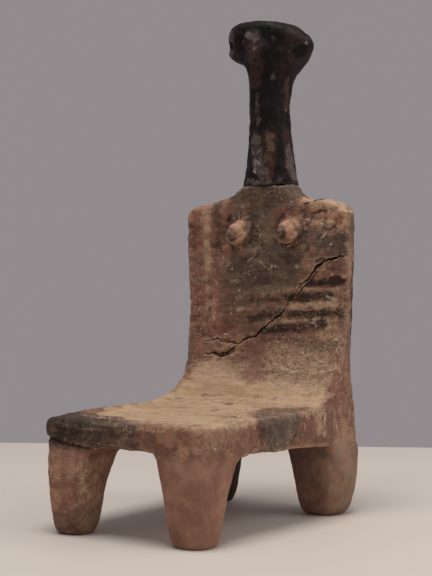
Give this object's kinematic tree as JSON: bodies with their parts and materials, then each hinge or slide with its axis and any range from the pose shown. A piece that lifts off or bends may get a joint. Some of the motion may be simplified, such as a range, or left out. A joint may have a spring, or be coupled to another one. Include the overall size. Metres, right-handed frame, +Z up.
{
  "type": "enthroned goddess figurine",
  "caption": "Small hand-built clay figurine: a seated figure whose body is a four-legged chair with a high back, two breast pellets and a long neck under a broad flat head.",
  "frame": {"origin": "on the ground under the centre of the figurine's bounding box", "axes": "+Z up along the neck, -Y out of the seat the way the figure faces, +X to the figure's own left"},
  "size_m": [0.0668, 0.1016, 0.1714],
  "materials": {
    "fired_clay": "matte fired clay with worn painted bands",
    "blackened_clay": "matte black paint worn through to the clay"
  },
  "bodies": {
    "root": {"seated_body": "fired_clay", "head_and_neck": "blackened_clay"}
  },
  "joints": []
}
